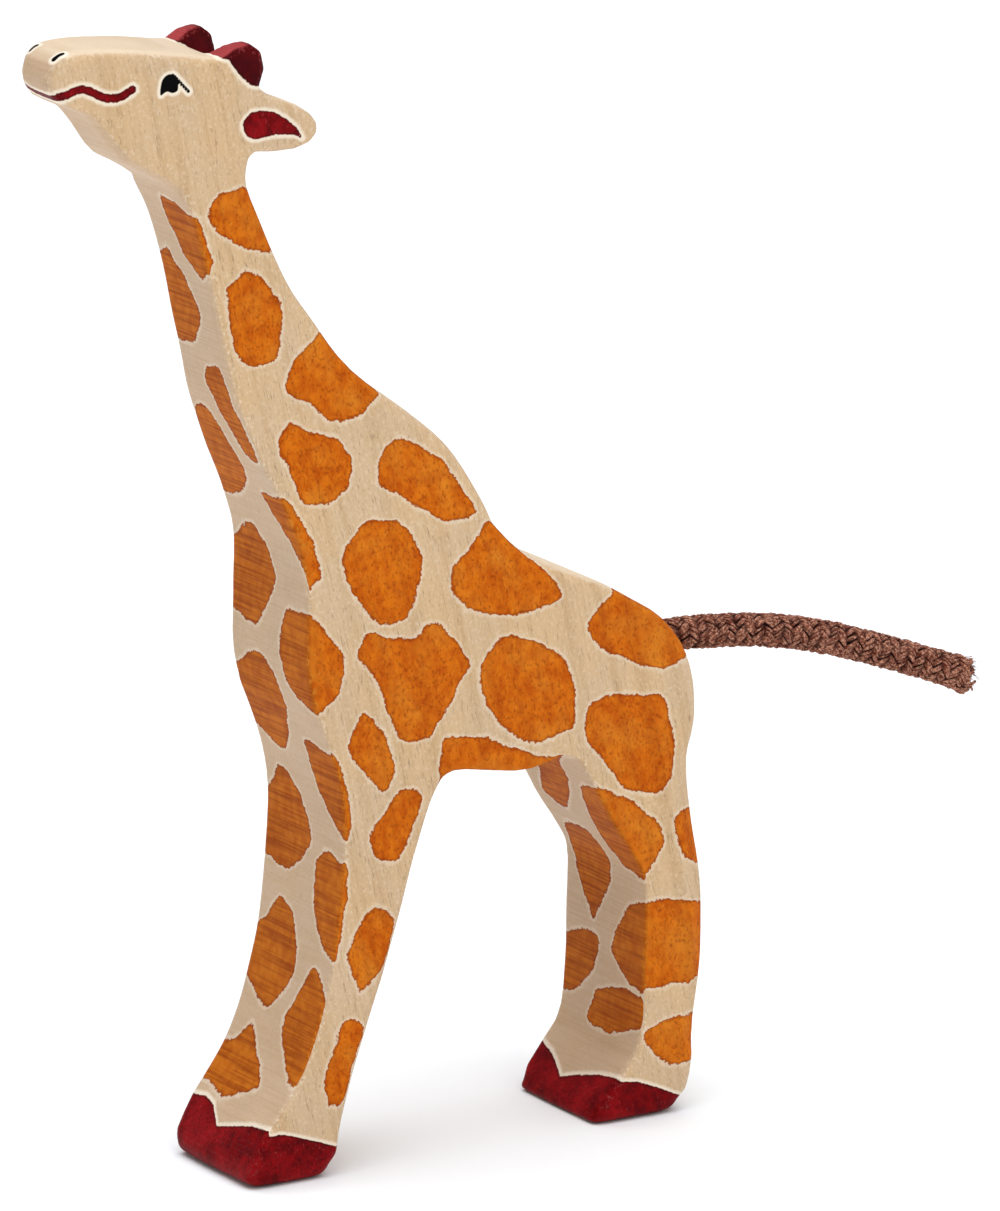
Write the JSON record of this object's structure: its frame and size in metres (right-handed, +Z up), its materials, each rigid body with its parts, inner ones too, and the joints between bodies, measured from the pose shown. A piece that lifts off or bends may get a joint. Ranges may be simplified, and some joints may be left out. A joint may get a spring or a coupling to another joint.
{
  "type": "carved wooden giraffe figurine",
  "caption": "Free-standing giraffe sawn and carved from one block of pale wood, painted with brown spots, with a stiff braided cord tail.",
  "frame": {"origin": "on the ground, under the middle of the wood", "axes": "+Z up; the giraffe looks along -X and its tail points along +X; +Y is its left side"},
  "size_m": [0.1594, 0.0228, 0.17],
  "materials": {
    "painted_wood": "carved pale wood, stained orange-brown spots, dark red hooves and horns, satin wax",
    "wood_glue": "dried wood glue, slightly glossy",
    "braided_cord": "braided cotton cord, brown-mauve, matt"
  },
  "bodies": {
    "figure": {"carved_body": "painted_wood", "tail_glue": "wood_glue", "tail_cord_root": "braided_cord"},
    "tail": {"tail_cord": "braided_cord"}
  },
  "joints": [
    {"name": "tail_bend", "type": "hinge", "parent": "figure", "child": "tail", "pos_m": [0.05162, 0, 0.07], "axis": [0, -1, 0], "range_deg": [-45, 40], "stiffness_Nm_per_rad": 0.012, "springref_deg": 0.86}
  ]
}
